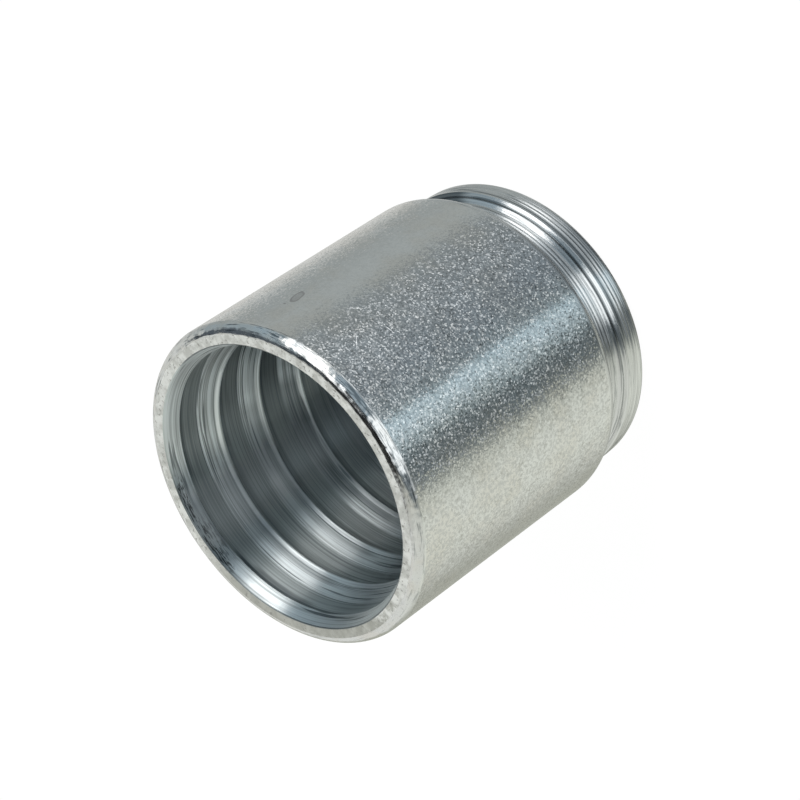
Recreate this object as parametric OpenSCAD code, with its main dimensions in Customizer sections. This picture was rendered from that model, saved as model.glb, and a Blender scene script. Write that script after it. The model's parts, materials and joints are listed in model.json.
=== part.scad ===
// Crimp ferrule for a hydraulic hose, turned in one piece from steel tube.
// It stands on its collar end with the hose mouth up, and its axis is Z.
// Heights are measured from the collar's end face, depths from the mouth face.

/* [Body] */
// Outside diameter of the smooth body that the crimping dies close on
body_d = 36; // [34:0.5:42]
// Overall length from the collar's end face to the mouth face
length = 39.2; // [38:0.1:60]
// Radius of the rounded outer edge round the mouth face
mouth_edge_r = 1.05; // [0.4:0.05:1.2]
// Radius of the rounded shoulder that ends the body at the neck
shoulder_r = 1.5; // [0.5:0.1:1.8]

/* [Collar and neck] */
// Outside diameter of the collar
collar_d = 33.5; // [32.6:0.1:36]
// Height of the collar's straight band, its end rounding included
collar_w = 3.2; // [2:0.1:3.6]
// Radius of the rounded edge at the collar's end face
collar_edge_r = 1.1; // [0.3:0.1:1.3]
// Diameter of the neck groove's floor
neck_d = 31.8; // [31.2:0.1:32.4]
// Width of the neck groove's flat floor
neck_w = 2.65; // [1.6:0.05:3.2]
// Width of the sloped wall between the neck's floor and the collar
neck_slope_w = 0.75; // [0.4:0.05:1.4]
// Radius of the fillet between the neck's floor and the shoulder
neck_fillet_r = 0.4; // [0.2:0.1:0.6]

/* [Mouth] */
// Diameter of the mouth at its face
mouth_d = 31.7; // [31:0.1:32]
// Diameter of the lip where the lead-in taper ends
lip_d = 30.2; // [29.6:0.1:30.8]
// Depth of the lip below the mouth face
lip_depth = 1.7; // [1:0.05:2.2]

/* [Ridges] */
// Diameter inside the ridge crests, where the hose slides in
ridge_d = 28.8; // [27:0.1:29.4]
// Diameter of the grooves between the ridges
groove_d = 31; // [30.9:0.1:31.8]
// Depth of the first ridge's back edge below the mouth face
first_ridge = 7; // [5.5:0.05:8]
// Distance from one ridge to the next
ridge_pitch = 6.25; // [4.6:0.05:8]
// Width of the flat land on each crest
land_w = 0.15; // [0.1:0.05:0.4]
// Width of the bevel between the slope and each crest's land
bevel_w = 0.35; // [0.2:0.05:0.6]
// Height of that bevel
bevel_h = 0.3; // [0.1:0.05:0.5]
// Width of the gentle slope that leads up to the bevel
slope_w = 1.8; // [1:0.1:2.2]
// Width of the steep face behind each crest, and behind the lip
back_w = 0.25; // [0.1:0.05:0.5]

/* [Inner flange] */
// Diameter of the hole that the fitting's stem passes through
stem_bore_d = 22.5; // [19:0.5:24]
// Thickness of the inner flange at the collar end
flange_w = 6; // [5:0.1:7]
// Width of the chamfers at both ends of the stem's hole
stem_chamfer = 0.6; // [0.3:0.1:1]
// Width of the plain land between the last groove and the flange
tail_land_w = 4; // [3:0.1:5]

/* [Hidden] */
$fn = 96;
// How far cutting shapes run past the faces that they open
margin = 1;
body_r = body_d / 2;
collar_r = collar_d / 2;
neck_r = neck_d / 2;
mouth_r = mouth_d / 2;
lip_r = lip_d / 2;
ridge_r = ridge_d / 2;
groove_r = groove_d / 2;
stem_r = stem_bore_d / 2;
// Heights of the neck floor's two ends, and of the plain land's top
neck_bottom = collar_w + neck_slope_w;
neck_top = neck_bottom + neck_w;
tail_top = flange_w + tail_land_w;
// As many ridges as fit between the lip and the plain land
ridge_room = length - first_ridge - back_w - tail_top - slope_w;
ridge_count = floor(ridge_room / ridge_pitch) + 1;

// Waste outside a rounded edge whose sharp corner lies at the origin and points to +X and +Y
module edge_waste(radius) {
    difference() {
        translate([-radius, -radius]) square(radius + margin);
        translate([-radius, -radius]) circle(radius);
    }
}

// Material that fills an inner corner at the origin, open to +X and -Y
module fillet(radius) {
    difference() {
        translate([0, -radius]) square(radius);
        translate([radius, -radius]) circle(radius);
    }
}

// Half section of the outside: the body on its neck, with the collar below
module outside() {
    difference() {
        union() {
            translate([0, neck_top]) square([body_r, length - neck_top]);
            polygon([
                [0, 0], [collar_r, 0], [collar_r, collar_w],
                [neck_r, neck_bottom], [neck_r, neck_top + margin], [0, neck_top + margin]
            ]);
            translate([neck_r, neck_top]) fillet(neck_fillet_r);
        }
        translate([body_r, length]) edge_waste(mouth_edge_r);
        translate([body_r, neck_top]) mirror([0, 1]) edge_waste(shoulder_r);
        translate([collar_r, 0]) mirror([0, 1]) edge_waste(collar_edge_r);
    }
}

// Corners of one ridge whose back edge lies at the given height, from the mouth side down
function ridge(height) = [
    [groove_r, height + land_w + bevel_w + slope_w],
    [ridge_r + bevel_h, height + land_w + bevel_w],
    [ridge_r, height + land_w],
    [ridge_r, height],
    [groove_r, height - back_w]
];

// Half section of the hollow: mouth taper, lip, ridges, plain land and the stem's hole
module hollow() {
    lip_height = length - lip_depth;
    ridges = [for (i = [0 : ridge_count - 1]) each ridge(length - first_ridge - i * ridge_pitch)];
    polygon(concat(
        [
            [0, length + margin], [mouth_r, length + margin], [mouth_r, length],
            [lip_r, lip_height], [groove_r, lip_height - back_w]
        ],
        ridges,
        [
            [groove_r, tail_top + slope_w], [ridge_r, tail_top], [ridge_r, flange_w],
            [stem_r + stem_chamfer, flange_w], [stem_r, flange_w - stem_chamfer],
            [stem_r, stem_chamfer], [stem_r + stem_chamfer, 0],
            [stem_r + stem_chamfer, -margin], [0, -margin]
        ]
    ));
}

// The whole turned piece
module ferrule() {
    color([0.72, 0.73, 0.72])
        rotate_extrude()
            difference() {
                outside();
                hollow();
            }
}

ferrule();
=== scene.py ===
"""Crimp hose ferrule in zinc-plated steel, standing on its collar end on a pale floor."""
import json
import math
from collections import namedtuple

import bpy
from mathutils import Matrix, Vector


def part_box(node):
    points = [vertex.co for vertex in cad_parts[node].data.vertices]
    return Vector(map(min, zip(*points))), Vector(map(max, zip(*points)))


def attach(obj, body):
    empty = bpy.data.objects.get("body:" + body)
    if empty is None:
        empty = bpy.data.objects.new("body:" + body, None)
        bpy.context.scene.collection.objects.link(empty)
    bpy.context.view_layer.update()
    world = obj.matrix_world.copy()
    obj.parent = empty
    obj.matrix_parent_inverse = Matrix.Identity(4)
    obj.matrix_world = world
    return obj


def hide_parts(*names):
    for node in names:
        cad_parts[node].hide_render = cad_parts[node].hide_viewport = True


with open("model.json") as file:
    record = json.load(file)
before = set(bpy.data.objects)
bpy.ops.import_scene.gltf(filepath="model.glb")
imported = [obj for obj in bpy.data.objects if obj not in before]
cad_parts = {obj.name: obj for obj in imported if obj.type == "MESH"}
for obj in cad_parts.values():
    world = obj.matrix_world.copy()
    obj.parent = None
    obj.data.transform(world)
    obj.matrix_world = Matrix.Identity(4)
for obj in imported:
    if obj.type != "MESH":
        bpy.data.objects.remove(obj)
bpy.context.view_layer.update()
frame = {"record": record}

MM = 0.001

# Sizes that the frame gives, in millimetres
low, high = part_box("ferrule")
mount_sizes = {mount["name"]: mount["dims"] for mount in frame["record"]["mounts"]}
BODY_R = (high[0] - low[0]) / 2 / MM
LENGTH = (high[2] - low[2]) / MM
RIDGE_R = mount_sizes["hose_bore"]["r_mm"]
STEM_R = mount_sizes["stem_bore"]["r_mm"]

# Other sizes of the turned section, in millimetres
MOUTH_EDGE = 1.05
SHOULDER = 1.5
COLLAR_R = 16.75
COLLAR_W = 3.2
COLLAR_EDGE = 1.1
NECK_R = 15.9
NECK_BOTTOM = 3.95
NECK_TOP = 6.6
MOUTH_R = 15.85
LIP_R = 15.1
LIP_DEPTH = 1.7
GROOVE_R = 15.5
FIRST_RIDGE = 7.0
RIDGE_PITCH = 6.25
RIDGE_COUNT = 4
LAND_W = 0.15
BEVEL_W = 0.35
BEVEL_H = 0.3
SLOPE_W = 1.8
BACK_W = 0.25
FLANGE_W = 6.0
TAIL_TOP = 10.0
STEM_CHAMFER = 0.6

# Heights of the lip and of the ridges' back edges, from the mouth inwards
LIP = LENGTH - LIP_DEPTH
RIDGES = [LENGTH - FIRST_RIDGE - i * RIDGE_PITCH for i in range(RIDGE_COUNT)]

# Roundings of the smaller edges and corners, in millimetres
MOUTH_INNER_EDGE = 0.15
NECK_FILLET = 0.4
NECK_CORNER = 0.3
COLLAR_TOP_EDGE = 0.25
STEM_EDGE = 0.1
FLANGE_CORNER = 0.3
TAIL_EDGE = 0.15
TAIL_CORNER = 0.3
GROOVE_CORNER = 0.25
CREST_BACK_EDGE = 0.05
CREST_FRONT_EDGE = 0.15
BEVEL_EDGE = 0.2
SLOPE_CORNER = 0.5
LIP_CORNER = 0.15
LIP_EDGE = 0.12

# Finishes of the plated steel, in the order of the mesh's material slots
DRAWN, RIM, TURNED, FACED, BORED, SLOPED, CREST = range(7)

# The mouth edge's rounding turns through this share of its corner, so it meets the body at a crease
CROWN = 0.75
# Length beside that rounding over which the surface stays flat, in millimetres
HOLD = 0.03

# Steps round the axis, round an edge, and along the section in millimetres for each finish
SEGMENTS = 176
ARC_STEP = math.radians(7)
SPACING = {DRAWN: 1.2, RIM: 0.2, TURNED: 0.07, FACED: 0.25, BORED: 0.45, SLOPED: 0.3, CREST: 0.3}

# Turning marks on the neck: wave lengths and heights in millimetres, and phases in turns
RINGS = [(0.29, 0.0060, 0.10), (0.45, 0.0210, 0.62), (0.64, 0.0230, 0.35)]
# Share of those heights on the collar, and the radius and the height at which the marks end
COLLAR_RINGS = 0.8
RINGS_INSIDE = NECK_R - 0.2
RINGS_TOP = NECK_TOP - 0.3

# Colours of the zinc: clear, dull and marked on each kind of surface
ZINC = (0.70, 0.715, 0.715, 1)
ZINC_WARM = (0.68, 0.675, 0.65, 1)
ZINC_DULL = (0.52, 0.53, 0.53, 1)
ZINC_FACE = (0.89, 0.905, 0.89, 1)
ZINC_FACE_DULL = (0.68, 0.69, 0.665, 1)
# Colour of the painted shade on the end faces
ZINC_FACE_SHADE = (0.42, 0.425, 0.385, 1)
ZINC_BRIGHT = (0.98, 0.98, 0.97, 1)
ZINC_STAIN = (0.34, 0.33, 0.33, 1)
ZINC_MARK = (0.36, 0.36, 0.34, 1)
# Colour of dark tool cuts and wear lines, and of painted shade
ZINC_CUT_AND_SHADE = (0.11, 0.13, 0.14, 1)
# Colour of the taper's dark flecks, which are partly nicks and partly painted shade
ZINC_NICK_AND_SHADE = (0.02, 0.021, 0.022, 1)
ZINC_THIN = (0.73, 0.79, 0.79, 1)
ZINC_THIN_DULL = (0.43, 0.475, 0.475, 1)
ZINC_SLOPE = (0.88, 0.94, 0.95, 1)
ZINC_SLOPE_DULL = (0.40, 0.435, 0.44, 1)
ZINC_CREST = (0.81, 0.86, 0.87, 1)
ZINC_CREST_DULL = (0.48, 0.52, 0.525, 1)

# Pattern in the plating: size of its lumps in millimetres, their detail and raggedness,
# the levels between which it appears, and its share
Pattern = namedtuple("Pattern", "size detail ragged start end share", defaults=(1.0,))
SPECKLE = Pattern(0.34, 3.0, 0.65, 0.43, 0.60, 0.9)
BODY_PITS = Pattern(0.40, 3.0, 0.6, 0.62, 0.70, 0.55)
THREAD_PATCHES = Pattern(1.7, 2.0, 0.5, 0.46, 0.62, 0.5)
RIM_NICKS = Pattern(0.30, 2.0, 0.55, 0.60, 0.72)
FACE_PITS = Pattern(0.45, 3.0, 0.6, 0.57, 0.68, 0.8)

# Cloud in the plating: the same, with the smallest and largest roughness that it gives
Cloud = namedtuple("Cloud", "size detail ragged start end smooth rough")
BODY_CLOUD = Cloud(5, 3.0, 0.6, 0.4, 0.65, 0.13, 0.16)
RIM_CLOUD = Cloud(2.5, 3.0, 0.6, 0.4, 0.7, 0.13, 0.17)
FACE_CLOUD = Cloud(1.1, 4.0, 0.65, 0.38, 0.62, 0.40, 0.52)

# Sizes of other lumps in the plating, in millimetres
CRYSTAL = 0.15
GRAIN = 0.3
STAIN_WANDER = 0.5
THREAD = 0.7
RIM_DENT = 1.8

# Levels of a pattern between which it changes the roughness, and those that bound a thin dark thread
ROUGHNESS_LEVELS = (0.3, 0.7)
THREAD_LEVELS = (0.01, 0.05)

# Depths of the relief, in millimetres
BODY_GRAIN_DEPTH = 0.010
TURNED_GRAIN_DEPTH = 0.006
TURNED_LINE_DEPTH = 0.027
RIM_LINE_DEPTH = 0.018
RIM_DENT_DEPTH = 0.12
FACE_LINE_DEPTH = 0.006
FACE_DENT_DEPTH = 0.10

# How the body's crystals lean: all of them along the axis and round it, and the few that glint
CRYSTAL_LEAN = 0.06
CRYSTAL_SWAY = 0.010
CRYSTAL_GLINT = 0.14

# Width and reach of the lines that a turning tool leaves, in millimetres
RIM_STREAK = (0.22, 2.2)
RIM_LINE = (0.13, 1.4)
FACE_LINE = (0.12, 12)
FLECK = (0.12, 1.0)
# How much wider dark cuts are than these lines on the turned surfaces, and how much further lines reach
CUT_WIDENING = 3
LINE_STRETCH = 2

# Levels of the lines between which they darken the surface, and on the rim the shares of dark at both
LINE_LEVELS = (0.4, 0.7)
CUT_LEVELS = (0.58, 0.66)
FLECK_LEVELS = (0.49, 0.58)
STREAK_LEVELS = (0.54, 0.70, 0.0, 0.9)
SHADED_RIM_LEVELS = (0.40, 0.60, 0.1, 0.75)
WORN_AND_SHADED_RIM_LEVELS = (0.44, 0.64, 0.05, 0.7)

# Stretches round the axis with their own look: start, end and softness in degrees from the front
SMOOTH_BODY = (-100, -32, 6)
CLEAN_RIM = (34, 200, 8)
# Dark lines on the front of the rim: partly wear, partly painted shade that dims its highlights
WORN_AND_SHADED_RIM = (-44, 24, 5)
# Painted shade on the rim between its two highlights, broken by its lines
SHADED_RIM = (-17, -1, 3)
# Painted shade on the end faces at the lower right
SHADED_FACE = (82, 168, 12)
# How strong three of them are, and how far the last wanders in degrees
SMOOTH_BODY_SHARE = 0.75
CLEAN_RIM_SHARE = 0.55
SHADED_FACE_SHARE = 0.7
SHADED_FACE_WANDER = 12

# Nicks on the rim: share of dull zinc, and added roughness
NICK_SHARE = 0.8
NICK_ROUGHNESS = 0.15

# Mark on the body: turn from the front and lean from round to along the axis in degrees,
# depth below the mouth, half length and half width in millimetres
Mark = namedtuple("Mark", "turn depth half_length half_width lean")
SCRATCHES = [
    Mark(-22.2, 9.50, 0.65, 0.05, 3),
    Mark(-35.1, 9.15, 0.98, 0.055, 46),
    Mark(-25.0, 5.55, 0.93, 0.055, -46),
    Mark(2.4, 19.17, 0.83, 0.04, 15),
    Mark(-17.5, 27.09, 0.43, 0.05, 25),
    Mark(-25.1, 3.41, 0.12, 0.08, 0),
]
STAIN = Mark(-54.4, 7.32, 1.15, 0.52, 104)
SPOT = Mark(-55.0, 5.62, 0.16, 0.14, 0)
# Distances over which a mark ends, 1 at the edge of its oval
MARK_END = (0.6, 1.2)
SCRATCH_ROUGHNESS = 0.55
# Distances over which the stain's dark edge begins and ends, and over which its paler inside ends
STAIN_EDGE_START = (0.55, 0.85)
STAIN_EDGE_END = (0.95, 1.15)
STAIN_INSIDE_END = (0.8, 1.1)
STAIN_INSIDE_SHARE = 0.55
STAIN_WOBBLE = 0.5
STAIN_SHARE = 0.8
SPOT_SHARE = 0.9

# Turned surface: width and reach of its lines in millimetres, clear and dull colours, share of dark cuts,
# roughness of the smooth and the rough lines, and how far the lines spread the light
Turning = namedtuple("Turning", "name width reach clear dull cut smooth rough spread")
NECK_TURNING = Turning("plated_turned", 0.12, 5, ZINC, ZINC_DULL, 0.5, 0.18, 0.28, 0.9)
GROOVE_TURNING = Turning("plated_bored", 0.14, 14, ZINC_THIN, ZINC_THIN_DULL, 0.25, 0.38, 0.46, 1.0)
SLOPE_TURNING = Turning("plated_sloped", 0.14, 14, ZINC_SLOPE, ZINC_SLOPE_DULL, 0.75, 0.36, 0.44, 1.0)
CREST_TURNING = Turning("plated_crest", 0.20, 10, ZINC_CREST, ZINC_CREST_DULL, 0.75, 0.32, 0.40, 1.0)

# Painted shade on a turned surface, for shadows and dark reflections: start and end in degrees from the far
# side, bottom and top heights, how dark it is, how softly it ends round the axis and along it, and whether
# it is broken into flecks
PaintedShade = namedtuple("PaintedShade", "start end bottom top share fade soft broken", defaults=(4, 0.1, False))
BELOW = -1
ABOVE = LENGTH + 5
# Heights in the grooves behind the ridges, from the mouth inwards
GROOVES = [back - 2 for back in RIDGES]
# Lower end of the mouth's inner edge
MOUTH_LOW = LENGTH - 0.65
# Painted dark lines on the neck's sloped wall and on the collar, which stand in for dark reflections at its
# corners: bottom and top
PAINTED_DARK_LINES = [(3.38, 3.60), (2.66, 2.86)]

# Floor: half its side in metres, its grey, its white, and the share of white that the camera sees
FLOOR_REACH = 3.0
FLOOR_GREY = (0.85, 0.85, 0.85, 1)
FLOOR_GLOW = 1.07
FLOOR_WHITE_SHARE = 0.88
WHITE = (1, 1, 1, 1)

# Light of the room below and above the horizon: turn about the part in degrees, and colour
LOW_STOPS = [
    (-180, (0.62, 0.62, 0.60)), (-156, (0.77, 0.77, 0.74)), (-140, (0.53, 0.55, 0.54)),
    (-126, (0.37, 0.40, 0.40)), (-100, (0.46, 0.49, 0.485)), (-83, (0.45, 0.48, 0.475)),
    (-79, (0.27, 0.30, 0.31)), (-50, (0.30, 0.34, 0.365)), (-20, (0.24, 0.285, 0.32)),
    (2, (0.255, 0.31, 0.335)), (5, (0.61, 0.78, 0.87)), (14, (0.56, 0.68, 0.74)),
    (23, (0.37, 0.45, 0.475)), (31, (0.15, 0.185, 0.20)), (46, (0.13, 0.16, 0.17)),
    (53, (0.42, 0.44, 0.40)), (60, (0.72, 0.74, 0.66)), (80, (0.88, 0.90, 0.82)),
    (104, (0.88, 0.90, 0.81)), (124, (0.67, 0.68, 0.62)), (140, (0.48, 0.49, 0.43)),
]
HIGH_STOPS = [
    (-180, (0.86, 0.865, 0.83)), (-140, (0.73, 0.745, 0.72)), (-128, (0.38, 0.43, 0.45)),
    (-88, (0.35, 0.44, 0.50)), (-30, (0.40, 0.49, 0.56)), (-8, (0.38, 0.47, 0.53)),
    (38, (0.20, 0.235, 0.26)), (50, (0.20, 0.23, 0.24)), (62, (0.72, 0.73, 0.67)),
    (80, (0.80, 0.81, 0.75)), (120, (0.85, 0.86, 0.80)), (140, (0.86, 0.865, 0.83)),
]

# Rise over which the room's lower light gives way to the upper, in degrees
HORIZON = (-12, 2)

# Parts of the room and the soft boxes: start, end and softness in degrees of turn or of rise
FRONT_TURN = (-80, 47, 1.5)
BACK_TURN = (105, 190, 4)
BACK_TURN_END = (-190, -177, 4)
OPENING_TURN = (60, 150, 6)
SCREEN_TURN = (-150, -113, 5)
SCREEN_RISE = (22, 70, 4)
TOP_BOX_SLANT = (-69, 60, 3)
TOP_BOX_TURN = (-110, -42, 3)
SIDE_BOX_RISE = (-17, 70, 4)
# Soft edges of the room's parts: start and end in degrees of turn or of rise, and the levels at both
DEEP_RISE = (-72, -55, 1.0, 0.0)
FALL_RISE = (-80, -42, 0.9, 0.0)
GLOW_RISE = (-43, -14, 0.0, 0.75)
GLOW_TURN = (-60, 40, 1.25, 0.85)
GLOW_START = (-80, -58, 0.0, 1.0)
OVERHEAD_RISE = (52, 66, 1.0, 0.05)
OPENING_RISE = (67, 75, 0.8, 0.0)
TOP_BOX_FOOT = (-19, -11, 0.0, 1.0)
TOP_BOX_HEAD = (60, 88, 1.0, 0.0)
SIDE_BOX_START = (-9, -3, 0.0, 1.0)
SIDE_BOX_END = (-3, 3, 1.0, 0.0)
# Rises between which the side box widens, and the turns at which it ends there
SIDE_BOX_WIDENING = (-10, 10, 24, 35)
# How far the top box leans: turn for each degree of rise
TOP_BOX_LEAN = 0.35
TOP_BOX_LIGHT = (2.6, 2.6, 2.6, 1)
SIDE_BOX_LIGHT = (1.45, 1.5, 1.52, 1)
SCREEN_SHADE = (0.09, 0.11, 0.13, 1)

# Camera, fitted to the picture: pixels, degrees and millimetres
IMAGE_SIZE = 800
FOCAL_PIXELS = 3031.5
MOUTH_PIXEL = (279.6, 488.9)
MOUTH_DEPTH = 302.11
AXIS_TILT = 50.379
AXIS_TURN = -34.361
SENSOR = 36
CLIP_START = 10

# Corner of the half section, its rounding, the rounding's finish and the finish of the stretch that follows
Corner = namedtuple("Corner", "radius height rounding edge_finish finish")


def corner_list():
    """Corners of the half section from the mouth's inner edge, outwards, down and up through the bore."""
    corners = [
        Corner(MOUTH_R, LENGTH, MOUTH_INNER_EDGE, BORED, FACED),
        Corner(BODY_R, LENGTH, MOUTH_EDGE, RIM, DRAWN),
        Corner(BODY_R, NECK_TOP, SHOULDER, TURNED, TURNED),
        Corner(NECK_R, NECK_TOP, NECK_FILLET, TURNED, TURNED),
        Corner(NECK_R, NECK_BOTTOM, NECK_CORNER, TURNED, TURNED),
        Corner(COLLAR_R, COLLAR_W, COLLAR_TOP_EDGE, TURNED, TURNED),
        Corner(COLLAR_R, 0, COLLAR_EDGE, TURNED, FACED),
        Corner(STEM_R + STEM_CHAMFER, 0, STEM_EDGE, FACED, BORED),
        Corner(STEM_R, STEM_CHAMFER, STEM_EDGE, BORED, BORED),
        Corner(STEM_R, FLANGE_W - STEM_CHAMFER, STEM_EDGE, BORED, BORED),
        Corner(STEM_R + STEM_CHAMFER, FLANGE_W, STEM_EDGE, BORED, BORED),
        Corner(RIDGE_R, FLANGE_W, FLANGE_CORNER, BORED, BORED),
        Corner(RIDGE_R, TAIL_TOP, TAIL_EDGE, BORED, BORED),
        Corner(GROOVE_R, TAIL_TOP + SLOPE_W, TAIL_CORNER, BORED, BORED),
    ]
    for back in reversed(RIDGES):
        corners += [
            Corner(GROOVE_R, back - BACK_W, GROOVE_CORNER, BORED, BORED),
            Corner(RIDGE_R, back, CREST_BACK_EDGE, CREST, CREST),
            Corner(RIDGE_R, back + LAND_W, CREST_FRONT_EDGE, CREST, CREST),
            Corner(RIDGE_R + BEVEL_H, back + LAND_W + BEVEL_W, BEVEL_EDGE, CREST, SLOPED),
            Corner(GROOVE_R, back + LAND_W + BEVEL_W + SLOPE_W, SLOPE_CORNER, SLOPED, BORED),
        ]
    corners += [
        Corner(GROOVE_R, LIP - BACK_W, LIP_CORNER, BORED, BORED),
        Corner(LIP_R, LIP, LIP_EDGE, CREST, CREST),
    ]
    return corners


def rounded_corner(before, corner, after):
    """Points of the arc that rounds a corner, from the side of the corner before it."""
    point = Vector((corner.radius, corner.height))
    back = (Vector((before.radius, before.height)) - point).normalized()
    ahead = (Vector((after.radius, after.height)) - point).normalized()
    half = back.angle(ahead) / 2
    reach = corner.rounding / math.tan(half)
    turn = (math.pi - 2 * half) * (CROWN if corner.edge_finish == RIM else 1)
    half_chord = reach * math.sin(half)
    middle = point + (back + ahead) / 2 * reach
    centre = middle + (back + ahead).normalized() * half_chord / math.tan(turn / 2)
    start = point + back * reach - centre
    sign = 1 if back.x * ahead.y - back.y * ahead.x < 0 else -1
    steps = max(2, math.ceil(turn / ARC_STEP))
    return [centre + Matrix.Rotation(sign * turn * i / steps, 2) @ start for i in range(steps + 1)]


def section():
    """Points of the closed half section in millimetres, and the finish of the stretch after each point."""
    corners = corner_list()
    points, finishes = [], []
    for i, corner in enumerate(corners):
        after = corners[(i + 1) % len(corners)]
        arc = rounded_corner(corners[i - 1], corner, after)
        next_start = rounded_corner(corner, after, corners[(i + 2) % len(corners)])[0]
        points += arc
        finishes += [corner.edge_finish] * (len(arc) - 1) + [corner.finish]
        stretch = next_start - arc[-1]
        parts = max(3, round(stretch.length / SPACING[corner.finish]))
        shares = [k / parts for k in range(1, parts)]
        hold = HOLD / stretch.length
        shares = [hold] * (corner.edge_finish == RIM) + shares + [1 - hold] * (after.edge_finish == RIM)
        points += [arc[-1] + stretch * share for share in shares]
        finishes += [corner.finish] * len(shares)
    return points, finishes


def ring_height(along):
    """Height of the turning marks at a place along the section."""
    return sum(h * math.sin(2 * math.pi * (along / wave + phase)) for wave, h, phase in RINGS)


def with_rings(points):
    """The section with turning marks cut into the neck and the collar."""
    along = 0
    marked = []
    for i, point in enumerate(points):
        ahead = points[(i + 1) % len(points)]
        step = ahead - points[i - 1]
        normal = Vector((-step.y, step.x)).normalized()
        share = 0
        if point.x > RINGS_INSIDE and COLLAR_EDGE < point.y < RINGS_TOP:
            share = 1 if point.y > COLLAR_W else COLLAR_RINGS
        marked.append(point + normal * ring_height(along) * share)
        along += (ahead - point).length
    return marked


def lathe(name, points, finishes, materials):
    """Closed mesh of a section turned about Z, with a map along the section and one that fills a square."""
    count = len(points)
    angles = [2 * math.pi * k / SEGMENTS for k in range(SEGMENTS)]
    vertices = [(p.x * math.cos(a) * MM, p.x * math.sin(a) * MM, p.y * MM) for a in angles for p in points]
    along = [0]
    for i in range(count):
        along.append(along[-1] + (points[(i + 1) % count] - points[i]).length)
    faces, slots, section_map, square_map = [], [], [], []
    for k in range(SEGMENTS):
        here, there = k * count, (k + 1) % SEGMENTS * count
        u, v = k / SEGMENTS, (k + 1) / SEGMENTS
        for i in range(count):
            j = (i + 1) % count
            faces.append((here + i, here + j, there + j, there + i))
            slots.append(finishes[i])
            s, t = along[i], along[i + 1]
            section_map += [u, s, u, t, v, t, v, s]
            square_map += [u, s / along[-1], u, t / along[-1], v, t / along[-1], v, s / along[-1]]
    mesh = bpy.data.meshes.new(name)
    mesh.from_pydata(vertices, [], faces)
    for map_name, places in (("Section", section_map), ("OFBake", square_map)):
        mesh.uv_layers.new(name=map_name).data.foreach_set("uv", places)
    for material in materials:
        mesh.materials.append(material)
    mesh.polygons.foreach_set("material_index", slots)
    mesh.shade_smooth()
    mesh.update()
    piece = bpy.data.objects.new(name, mesh)
    bpy.context.collection.objects.link(piece)
    return piece


def add(tree, kind, inputs=None, **settings):
    """New node with its settings and its inputs, which are values or the outputs of other nodes."""
    node = tree.nodes.new("ShaderNode" + kind)
    for key, value in settings.items():
        setattr(node, key, value)
    for key, value in (inputs or {}).items():
        if isinstance(value, bpy.types.NodeSocket):
            tree.links.new(value, node.inputs[key])
        else:
            node.inputs[key].default_value = value
    return node


def calc(tree, operation, *terms):
    """Result of one sum."""
    return add(tree, "Math", dict(enumerate(terms)), operation=operation).outputs[0]


def times(tree, product, *terms):
    """Product of several values."""
    for term in terms:
        product = calc(tree, "MULTIPLY", product, term)
    return product


def most(tree, largest, *terms):
    """Largest of several values."""
    for term in terms:
        largest = calc(tree, "MAXIMUM", largest, term)
    return largest


def rest(tree, share):
    """What a share leaves of the whole."""
    return calc(tree, "SUBTRACT", 1.0, share)


def vector_calc(tree, operation, *terms):
    """Result of one sum of vectors or colours."""
    return add(tree, "VectorMath", dict(enumerate(terms)), operation=operation).outputs[0]


def ramp(tree, value, start, end, out_start=0.0, out_end=1.0):
    """Smooth change from one value to another as the input passes from start to end."""
    inputs = {"Value": value, "From Min": start, "From Max": end, "To Min": out_start, "To Max": out_end}
    return add(tree, "MapRange", inputs, interpolation_type="SMOOTHSTEP").outputs[0]


def between(tree, value, start, end, soft):
    """1 between start and end, with soft edges."""
    return times(
        tree,
        ramp(tree, value, start - soft, start + soft),
        ramp(tree, value, end - soft, end + soft, 1.0, 0.0),
    )


def blend(tree, share, first, second):
    """Mix of two colours."""
    return add(tree, "Mix", {0: share, 6: first, 7: second}, data_type="RGBA").outputs[2]


def noise(tree, place, size, detail=2.0, roughness=0.5):
    """Noise whose lumps are about the given size, in the units of the place."""
    inputs = {"Vector": place, "Scale": 1 / size, "Detail": detail, "Roughness": roughness}
    return add(tree, "TexNoise", inputs).outputs[0]


def lumps(tree, place, kind):
    """Noise of a pattern or a cloud in the plating."""
    return noise(tree, place, kind.size * MM, kind.detail, kind.ragged)


def pattern(tree, place, kind):
    """Share of a pattern in the plating."""
    return ramp(tree, lumps(tree, place, kind), kind.start, kind.end, 0.0, kind.share)


def clouded(tree, place, kind, first, second):
    """Colour and roughness of a cloudy surface."""
    cloud = lumps(tree, place, kind)
    colour = blend(tree, ramp(tree, cloud, kind.start, kind.end), first, second)
    roughness = ramp(tree, cloud, *ROUGHNESS_LEVELS, kind.smooth, kind.rough)
    return colour, roughness


def bump(tree, height, depth, normal=None):
    """Surface relief of the given depth in metres."""
    inputs = {"Height": height, "Distance": depth, "Strength": 1.0}
    if normal:
        inputs["Normal"] = normal
    return add(tree, "Bump", inputs).outputs[0]


def round_angle(tree, place):
    """Angle about the axis in degrees, 0 at the front and positive to the right."""
    x, y, z = add(tree, "SeparateXYZ", {0: place}).outputs
    return calc(tree, "DEGREES", calc(tree, "ARCTAN2", times(tree, x, -1), times(tree, y, -1)))


def far_angle(tree, place):
    """Angle about the axis in degrees, 0 at the far side."""
    whole_turn = calc(tree, "MODULO", calc(tree, "ADD", round_angle(tree, place), 360.0), 360.0)
    return calc(tree, "SUBTRACT", whole_turn, 180.0)


def height_above(tree, place):
    """Height above the collar's end face in millimetres."""
    return calc(tree, "DIVIDE", add(tree, "SeparateXYZ", {0: place}).outputs[2], MM)


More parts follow.
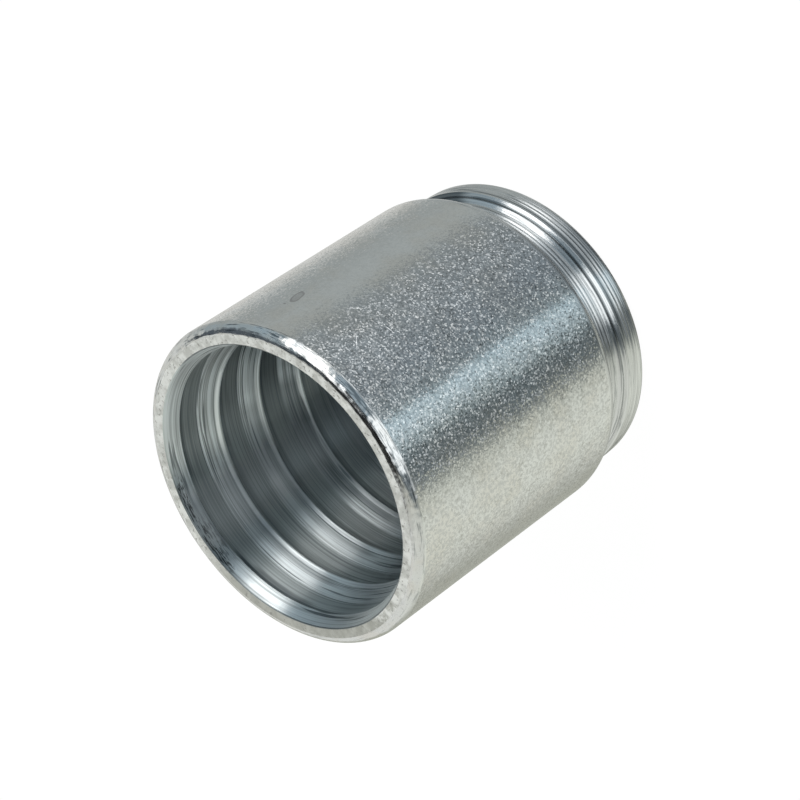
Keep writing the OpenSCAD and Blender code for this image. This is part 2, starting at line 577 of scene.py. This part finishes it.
def turned_lines(tree, width, reach):
    """Lines of a turning tool: noise drawn out round the axis. Sizes are in millimetres."""
    place = add(tree, "SeparateXYZ", {0: add(tree, "TexCoord").outputs["Object"]})
    along = add(tree, "SeparateXYZ", {0: add(tree, "UVMap", uv_map="Section").outputs[0]}).outputs[1]
    x = times(tree, place.outputs[0], 1 / (reach * MM))
    y = times(tree, place.outputs[1], 1 / (reach * MM))
    s = times(tree, along, 1 / width)
    streaks = add(tree, "CombineXYZ", {0: x, 1: y, 2: s}).outputs[0]
    return noise(tree, streaks, 1.0, 2.0, 0.6)


def steel(name):
    """New material with a metal shader, and its tree, shader and place on the part."""
    material = bpy.data.materials.new(name)
    material.use_nodes = True
    tree = material.node_tree
    shader = tree.nodes["Principled BSDF"]
    shader.inputs["Metallic"].default_value = 1.0
    place = add(tree, "TexCoord").outputs["Object"]
    return material, tree, shader, place


def finish_shader(tree, shader, colour, roughness, normal):
    """Joins the three results of a finish to its shader."""
    tree.links.new(colour, shader.inputs["Base Color"])
    tree.links.new(roughness, shader.inputs["Roughness"])
    tree.links.new(normal, shader.inputs["Normal"])


def crystals(tree, place):
    """Normal of a skin of small crystals, each leaning its own way and only a few of them far."""
    cells = add(tree, "TexVoronoi", {"Vector": place, "Scale": 1 / (CRYSTAL * MM)}).outputs["Color"]
    tilt = vector_calc(tree, "SUBTRACT", cells, (0.5, 0.5, 0.5))
    square = vector_calc(tree, "MULTIPLY", tilt, tilt)
    cube = vector_calc(tree, "MULTIPLY", square, tilt)
    even = vector_calc(tree, "MULTIPLY", tilt, (2 * CRYSTAL_SWAY, 2 * CRYSTAL_SWAY, 2 * CRYSTAL_LEAN))
    far = vector_calc(tree, "MULTIPLY", cube, (0, 0, 8 * CRYSTAL_GLINT))
    push = vector_calc(tree, "ADD", even, far)
    plain = add(tree, "NewGeometry").outputs["Normal"]
    return vector_calc(tree, "NORMALIZE", vector_calc(tree, "ADD", plain, push))


def mark_distance(tree, place, mark):
    """Distance from a mark's middle on the body, 1 at the edge of its oval."""
    around = times(tree, calc(tree, "RADIANS", round_angle(tree, place)), BODY_R)
    across = calc(tree, "SUBTRACT", around, math.radians(mark.turn) * BODY_R)
    down = calc(tree, "SUBTRACT", LENGTH - mark.depth, height_above(tree, place))
    cosine, sine = math.cos(math.radians(mark.lean)), math.sin(math.radians(mark.lean))
    long_part = calc(tree, "ADD", times(tree, across, cosine), times(tree, down, sine))
    wide_part = calc(tree, "SUBTRACT", times(tree, down, cosine), times(tree, across, sine))
    long_share = calc(tree, "POWER", calc(tree, "DIVIDE", long_part, mark.half_length), 2.0)
    wide_share = calc(tree, "POWER", calc(tree, "DIVIDE", wide_part, mark.half_width), 2.0)
    return calc(tree, "SQRT", calc(tree, "ADD", long_share, wide_share))


def scratched(tree, place):
    """Share of bright scratches on the body."""
    distances = [mark_distance(tree, place, scratch) for scratch in SCRATCHES]
    return most(tree, *[ramp(tree, distance, *MARK_END, 1.0, 0.0) for distance in distances])


def stained(tree, place):
    """Share of the oval stain, which is darkest at its ragged edge, and of the spot beside it."""
    wander = noise(tree, place, STAIN_WANDER * MM, 3.0, 0.6)
    wobble = times(tree, calc(tree, "SUBTRACT", wander, 0.5), STAIN_WOBBLE)
    stain = calc(tree, "ADD", mark_distance(tree, place, STAIN), wobble)
    edge = times(tree, ramp(tree, stain, *STAIN_EDGE_START), ramp(tree, stain, *STAIN_EDGE_END, 1.0, 0.0))
    inside = ramp(tree, stain, *STAIN_INSIDE_END, STAIN_INSIDE_SHARE, 0.0)
    spot = ramp(tree, mark_distance(tree, place, SPOT), *MARK_END, SPOT_SHARE, 0.0)
    return times(tree, most(tree, edge, inside, spot), STAIN_SHARE)


def threads(tree, place):
    """Share of thin dark threads, which lie in patches."""
    middle = calc(tree, "ABSOLUTE", calc(tree, "SUBTRACT", noise(tree, place, THREAD * MM), 0.5))
    return times(tree, ramp(tree, middle, *THREAD_LEVELS, 1.0, 0.0), pattern(tree, place, THREAD_PATCHES))


def drawn_finish():
    """Body: plated as drawn, with a skin of fine crystals that sparkles, small pits and a few marks."""
    material, tree, shader, place = steel("plated_drawn")
    smooth_side = between(tree, round_angle(tree, place), *SMOOTH_BODY)
    shown = rest(tree, times(tree, smooth_side, SMOOTH_BODY_SHARE))
    worn = times(tree, most(tree, pattern(tree, place, BODY_PITS), threads(tree, place)), shown)
    dull = times(tree, pattern(tree, place, SPECKLE), shown)
    scratch = scratched(tree, place)
    colour, roughness = clouded(tree, place, BODY_CLOUD, ZINC, ZINC_WARM)
    colour = blend(tree, dull, colour, ZINC_DULL)
    colour = blend(tree, worn, colour, ZINC_MARK)
    colour = blend(tree, stained(tree, place), colour, ZINC_STAIN)
    colour = blend(tree, scratch, colour, ZINC_BRIGHT)
    roughness = most(tree, roughness, times(tree, scratch, SCRATCH_ROUGHNESS))
    grain = noise(tree, place, GRAIN * MM, 2.0, 0.6)
    relief = bump(tree, grain, BODY_GRAIN_DEPTH * MM, crystals(tree, place))
    finish_shader(tree, shader, colour, roughness, relief)
    return material


def rim_finish():
    """Rounded edge of the mouth: bright, with dents and nicks, and dark lines on the front that are partly
    wear and partly painted shade.
    """
    material, tree, shader, place = steel("plated_rim")
    angle = round_angle(tree, place)
    dents = noise(tree, place, RIM_DENT * MM)
    nicks = pattern(tree, place, RIM_NICKS)
    streaks = turned_lines(tree, *RIM_STREAK)
    lines = turned_lines(tree, *RIM_LINE)
    shown = rest(tree, times(tree, between(tree, angle, *CLEAN_RIM), CLEAN_RIM_SHARE))
    streaked = times(tree, ramp(tree, streaks, *STREAK_LEVELS), shown)
    # Painted shade between the rim's highlights, broken by lines
    cut = times(tree, between(tree, angle, *SHADED_RIM), ramp(tree, lines, *SHADED_RIM_LEVELS))
    # Dark lines on the front: partly wear, partly painted shade
    worn = times(tree, between(tree, angle, *WORN_AND_SHADED_RIM), ramp(tree, lines, *WORN_AND_SHADED_RIM_LEVELS))
    colour, roughness = clouded(tree, place, RIM_CLOUD, ZINC, ZINC_WARM)
    colour = blend(tree, times(tree, nicks, NICK_SHARE), colour, ZINC_DULL)
    colour = blend(tree, most(tree, streaked, cut, worn), colour, ZINC_CUT_AND_SHADE)
    roughness = calc(tree, "ADD", roughness, times(tree, nicks, NICK_ROUGHNESS))
    relief = bump(tree, streaks, RIM_LINE_DEPTH * MM, bump(tree, dents, RIM_DENT_DEPTH * MM))
    finish_shader(tree, shader, colour, roughness, relief)
    return material


def faced_finish():
    """End faces: matt and mottled, with small pits, and darker at the lower right, which is painted shade.
    """
    material, tree, shader, place = steel("plated_faced")
    cloud = lumps(tree, place, FACE_CLOUD)
    colour, roughness = clouded(tree, place, FACE_CLOUD, ZINC_FACE, ZINC_FACE_DULL)
    wander = ramp(tree, cloud, *ROUGHNESS_LEVELS, -SHADED_FACE_WANDER, SHADED_FACE_WANDER)
    angle = calc(tree, "ADD", round_angle(tree, place), wander)
    face_shade = times(tree, between(tree, angle, *SHADED_FACE), SHADED_FACE_SHARE)
    colour = blend(tree, face_shade, colour, ZINC_FACE_SHADE)
    colour = blend(tree, pattern(tree, place, FACE_PITS), colour, ZINC_MARK)
    lines = bump(tree, turned_lines(tree, *FACE_LINE), FACE_LINE_DEPTH * MM)
    relief = bump(tree, cloud, FACE_DENT_DEPTH * MM, lines)
    finish_shader(tree, shader, colour, roughness, relief)
    return material


def with_painted_shade(tree, colour, shade, far, height):
    """Colour with one place of painted shade laid over it."""
    around = between(tree, far, shade.start, shade.end, shade.fade)
    along = between(tree, height, shade.bottom, shade.top, shade.soft)
    share = times(tree, around, along, shade.share)
    if not shade.broken:
        return blend(tree, share, colour, ZINC_CUT_AND_SHADE)
    flecks = ramp(tree, turned_lines(tree, *FLECK), *FLECK_LEVELS)
    return blend(tree, times(tree, share, flecks), colour, ZINC_NICK_AND_SHADE)


def turned_finish(turning, painted_shades):
    """Surface cut by a turning tool: fine rings spread the light along the section. Some places have painted
    shade.
    """
    material, tree, shader, place = steel(turning.name)
    lines = turned_lines(tree, turning.width, LINE_STRETCH * turning.reach)
    cuts = ramp(tree, turned_lines(tree, CUT_WIDENING * turning.width, turning.reach), *CUT_LEVELS)
    colour = blend(tree, ramp(tree, lines, *LINE_LEVELS), turning.clear, turning.dull)
    colour = blend(tree, times(tree, cuts, turning.cut), colour, ZINC_CUT_AND_SHADE)
    far = far_angle(tree, place)
    height = height_above(tree, place)
    for shade in painted_shades:
        colour = with_painted_shade(tree, colour, shade, far, height)
    roughness = ramp(tree, lines, *ROUGHNESS_LEVELS, turning.smooth, turning.rough)
    grain = noise(tree, place, GRAIN * MM, 2.0, 0.6)
    rings = bump(tree, lines, TURNED_LINE_DEPTH * turning.cut * MM)
    relief = bump(tree, grain, TURNED_GRAIN_DEPTH * MM, rings)
    finish_shader(tree, shader, colour, roughness, relief)
    shader.inputs["Anisotropic"].default_value = turning.spread
    shader.inputs["Anisotropic Rotation"].default_value = 0.25
    tangent = add(tree, "Tangent", direction_type="RADIAL", axis="Z").outputs[0]
    tree.links.new(tangent, shader.inputs["Tangent"])
    return material


def neck_painted_shades():
    """Painted shade on the neck and the collar, for its dark reflections and the shade in its recess."""
    painted_shades = [
        PaintedShade(85, 119, COLLAR_W - 0.2, NECK_BOTTOM + 0.1, 0.85),
        PaintedShade(85, 119, NECK_BOTTOM + 0.1, NECK_TOP + 0.2, 0.3),
        PaintedShade(161, 177, BELOW, NECK_TOP + 0.8, 0.42),
        PaintedShade(-163, -151, COLLAR_W, NECK_TOP + 0.2, 0.55),
        PaintedShade(-164, -152, BELOW, COLLAR_W, 0.64),
    ]
    for bottom, top in PAINTED_DARK_LINES:
        painted_shades.append(PaintedShade(122, 200, bottom, top, 0.75, soft=0.06))
        painted_shades.append(PaintedShade(-200, -154, bottom, top, 0.75, soft=0.06))
    return painted_shades


def groove_painted_shades():
    """Painted shade on the bore's grooves: the far side, the mouth's edge, behind the lip and the ridges."""
    painted_shades = [
        PaintedShade(-46, 140, BELOW, MOUTH_LOW, 0.28, fade=12),
        PaintedShade(-14, 140, BELOW, MOUTH_LOW, 0.35, fade=7),
        PaintedShade(-14, 20, BELOW, MOUTH_LOW, 0.2),
        PaintedShade(-4, 16.5, BELOW, MOUTH_LOW, 0.35),
        PaintedShade(20, 60, BELOW, GROOVES[0] - 2, 0.25),
        PaintedShade(-34, 60, BELOW, GROOVES[2], 0.3),
        PaintedShade(-200, 22, MOUTH_LOW, ABOVE, 0.75),
        PaintedShade(84, 200, MOUTH_LOW, ABOVE, 0.75),
        PaintedShade(-48, -21, LIP - 1.2, LIP + 0.1, 0.5, soft=0.15),
        PaintedShade(-38, -21, LIP - 1.3, LIP - 0.8, 0.35),
        PaintedShade(-40, -20, BELOW, GROOVES[1], 0.25),
        PaintedShade(-200, -12, LIP - 0.75, LIP - 0.1, 0.55),
        PaintedShade(24, 200, LIP - 0.75, LIP - 0.1, 0.55),
        PaintedShade(28, 100, LIP - 0.4, LIP, 0.85, soft=0.06),
        PaintedShade(-38, -11, LIP - 0.6, LIP, 0.9, soft=0.06),
    ]
    return painted_shades + [PaintedShade(-200, 200, back - 1.5, back - 0.2, 0.4, soft=0.25) for back in RIDGES]


def slope_painted_shades():
    """Painted shade on the ridges' slopes: the far side, deep in the bore, and beside each bevel."""
    painted_shades = [
        PaintedShade(-46, -14, BELOW, ABOVE, 0.2),
        PaintedShade(-14, 20, BELOW, ABOVE, 0.58),
        PaintedShade(-4, 16.5, BELOW, ABOVE, 0.5),
        PaintedShade(6, 38, BELOW, GROOVES[0], 0.42),
        PaintedShade(-20, 38, BELOW, GROOVES[1], 0.38),
        PaintedShade(-34, 60, BELOW, GROOVES[2], 0.5),
        PaintedShade(-40, -16, RIDGES[2] + 0.4, RIDGES[2] + 1.3, 0.5),
    ]
    for back in RIDGES:
        bevel = back + LAND_W + BEVEL_W
        painted_shades.append(PaintedShade(-50, 22, bevel, bevel + 0.6, 0.4))
        painted_shades.append(PaintedShade(22, 140, bevel, bevel + 0.6, 0.18, fade=8))
    return painted_shades


def crest_painted_shades():
    """Painted shade on the ridges' crests and on the mouth's taper, with dark flecks that are partly nicks
    and partly painted shade, and two painted dark lines.
    """
    return [
        PaintedShade(-46, -14, BELOW, LIP - 1, 0.15),
        PaintedShade(-14, 20, BELOW, ABOVE, 0.55),
        PaintedShade(-4, 16.5, BELOW, ABOVE, 0.7),
        PaintedShade(-22, -10, GROOVES[0], LIP - 1, 0.25),
        PaintedShade(-46, 8, BELOW, GROOVES[0], 0.25),
        PaintedShade(-46, -12, BELOW, GROOVES[1], 0.45),
        PaintedShade(-34, 60, BELOW, GROOVES[2], 0.5),
        PaintedShade(-9, 21, LIP - 0.1, ABOVE, 0.15),
        PaintedShade(-34, 22, LENGTH - 0.4, ABOVE, 0.4),
        PaintedShade(-16, 26, LENGTH - 0.8, ABOVE, 0.85, broken=True),
        PaintedShade(-12, 8, LIP + 0.2, LENGTH - 0.8, 0.5, broken=True),
        PaintedShade(28, 88, LIP + 0.86, LIP + 1.1, 0.35, soft=0.08),
        PaintedShade(32, 88, LIP + 0.36, LIP + 0.48, 0.35, soft=0.05),
    ]


def make_ferrule():
    """The plated part, which stands for the plain solid."""
    points, finishes = section()
    materials = [
        drawn_finish(),
        rim_finish(),
        turned_finish(NECK_TURNING, neck_painted_shades()),
        faced_finish(),
        turned_finish(GROOVE_TURNING, groove_painted_shades()),
        turned_finish(SLOPE_TURNING, slope_painted_shades()),
        turned_finish(CREST_TURNING, crest_painted_shades()),
    ]
    piece = lathe("ferrule_plated", with_rings(points), finishes, materials)
    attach(piece, "root")
    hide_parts("ferrule")


def make_floor():
    """Pale floor that looks white and keeps a soft shadow. The metal shows the studio and not the floor."""
    reach = FLOOR_REACH
    corners = [(-reach, -reach, 0), (reach, -reach, 0), (reach, reach, 0), (-reach, reach, 0)]
    mesh = bpy.data.meshes.new("floor")
    mesh.from_pydata(corners, [], [(0, 1, 2, 3)])
    floor = bpy.data.objects.new("floor", mesh)
    bpy.context.collection.objects.link(floor)
    material = bpy.data.materials.new("floor")
    material.use_nodes = True
    tree = material.node_tree
    tree.nodes.clear()
    matt = add(tree, "BsdfDiffuse", {"Color": FLOOR_GREY}).outputs[0]
    white = add(tree, "Emission", {"Color": WHITE, "Strength": FLOOR_GLOW}).outputs[0]
    share = times(tree, add(tree, "LightPath").outputs["Is Camera Ray"], FLOOR_WHITE_SHARE)
    surface = add(tree, "MixShader", {0: share, 1: matt, 2: white}).outputs[0]
    add(tree, "OutputMaterial", {"Surface": surface})
    mesh.materials.append(material)
    floor.visible_glossy = False
    floor.visible_shadow = False


def dimmed(tree, colour, level):
    """Colour times a level."""
    return add(tree, "VectorMath", {0: colour, 3: level}, operation="SCALE").outputs[0]


def round_band(tree, turn, stops):
    """Light of one band of the room, from colours at turns about the part."""
    share = calc(tree, "DIVIDE", calc(tree, "ADD", turn, 180), 360)
    node = add(tree, "ValToRGB", {0: share})
    points = node.color_ramp.elements
    while len(points) < len(stops):
        points.new(1.0)
    for point, (degrees, colour) in zip(points, stops):
        point.position = (degrees + 180) / 360
        point.color = (*colour, 1)
    return node.outputs[0]


def lower_room(tree, turn, rise):
    """Light from below the horizon: it falls off in front and deep down behind, and glows in front."""
    front = between(tree, turn, *FRONT_TURN)
    behind = most(tree, between(tree, turn, *BACK_TURN), between(tree, turn, *BACK_TURN_END))
    deep = times(tree, behind, ramp(tree, rise, *DEEP_RISE))
    fall = times(tree, most(tree, front, deep), ramp(tree, rise, *FALL_RISE))
    ground = dimmed(tree, round_band(tree, turn, LOW_STOPS), rest(tree, fall))
    glow = times(tree, front, ramp(tree, rise, *GLOW_RISE))
    glow = times(tree, glow, ramp(tree, turn, *GLOW_TURN), ramp(tree, turn, *GLOW_START))
    return vector_calc(tree, "ADD", ground, glow)


def upper_room(tree, turn, rise):
    """Light from above the horizon: dim overhead, apart from an opening on one side."""
    overhead = ramp(tree, rise, *OVERHEAD_RISE)
    opening = times(tree, between(tree, turn, *OPENING_TURN), ramp(tree, rise, *OPENING_RISE))
    return dimmed(tree, round_band(tree, turn, HIGH_STOPS), most(tree, overhead, opening))


def top_box(tree, turn, rise):
    """Share of the tall soft box that leans over the part."""
    slant = calc(tree, "ADD", turn, times(tree, rise, TOP_BOX_LEAN))
    sides = times(tree, between(tree, slant, *TOP_BOX_SLANT), between(tree, turn, *TOP_BOX_TURN))
    return times(tree, sides, ramp(tree, rise, *TOP_BOX_FOOT), ramp(tree, rise, *TOP_BOX_HEAD))


def side_box(tree, turn, rise):
    """Share of the soft box beside the camera, which is wider at the top."""
    past_end = calc(tree, "SUBTRACT", turn, ramp(tree, rise, *SIDE_BOX_WIDENING))
    sides = times(tree, ramp(tree, turn, *SIDE_BOX_START), ramp(tree, past_end, *SIDE_BOX_END))
    return times(tree, sides, between(tree, rise, *SIDE_BOX_RISE))


def make_studio():
    """World light: a dim room, a pale sweep to one side and two tall soft boxes. White to the camera."""
    world = bpy.data.worlds.new("studio")
    bpy.context.scene.world = world
    world.use_nodes = True
    tree = world.node_tree
    tree.nodes.clear()
    way = add(tree, "TexCoord").outputs["Generated"]
    turn = round_angle(tree, way)
    rise = calc(tree, "DEGREES", calc(tree, "ARCSINE", add(tree, "SeparateXYZ", {0: way}).outputs[2]))
    above = ramp(tree, rise, *HORIZON)
    colour = blend(tree, above, lower_room(tree, turn, rise), upper_room(tree, turn, rise))
    screen = times(tree, between(tree, turn, *SCREEN_TURN), between(tree, rise, *SCREEN_RISE))
    colour = blend(tree, screen, colour, SCREEN_SHADE)
    colour = blend(tree, top_box(tree, turn, rise), colour, TOP_BOX_LIGHT)
    colour = blend(tree, side_box(tree, turn, rise), colour, SIDE_BOX_LIGHT)
    colour = blend(tree, add(tree, "LightPath").outputs["Is Camera Ray"], colour, WHITE)
    light = add(tree, "Background", {"Color": colour, "Strength": 1.0}).outputs[0]
    add(tree, "OutputWorld", {"Surface": light})


def make_camera():
    """Camera at the picture's place, turned so that the standing part points as in the picture."""
    tilt, turn = math.radians(AXIS_TILT), math.radians(AXIS_TURN)
    middle = IMAGE_SIZE / 2
    across = [(pixel - middle) / FOCAL_PIXELS for pixel in MOUTH_PIXEL]
    mouth = Vector((across[0], across[1], 1)) * MOUTH_DEPTH * MM
    down_axis = Vector((math.sin(tilt) * math.cos(turn), math.sin(tilt) * math.sin(turn), math.cos(tilt)))
    z_axis = -down_axis
    y_axis = (mouth - mouth.dot(down_axis) * down_axis).normalized()
    x_axis = y_axis.cross(z_axis)
    to_part = Matrix((x_axis, y_axis, z_axis))
    camera = bpy.data.cameras.new("camera")
    camera.sensor_width = SENSOR
    camera.lens = FOCAL_PIXELS / IMAGE_SIZE * SENSOR
    camera.clip_start = CLIP_START * MM
    seat = bpy.data.objects.new("camera", camera)
    bpy.context.collection.objects.link(seat)
    picture_axes = Matrix.Diagonal((1, -1, -1))
    place = Vector((0, 0, LENGTH * MM)) - to_part @ mouth
    seat.matrix_world = Matrix.Translation(place) @ (to_part @ picture_axes).to_4x4()
    bpy.context.scene.camera = seat


make_ferrule()
make_floor()
make_studio()
make_camera()
bpy.context.scene.view_settings.view_transform = "Standard"
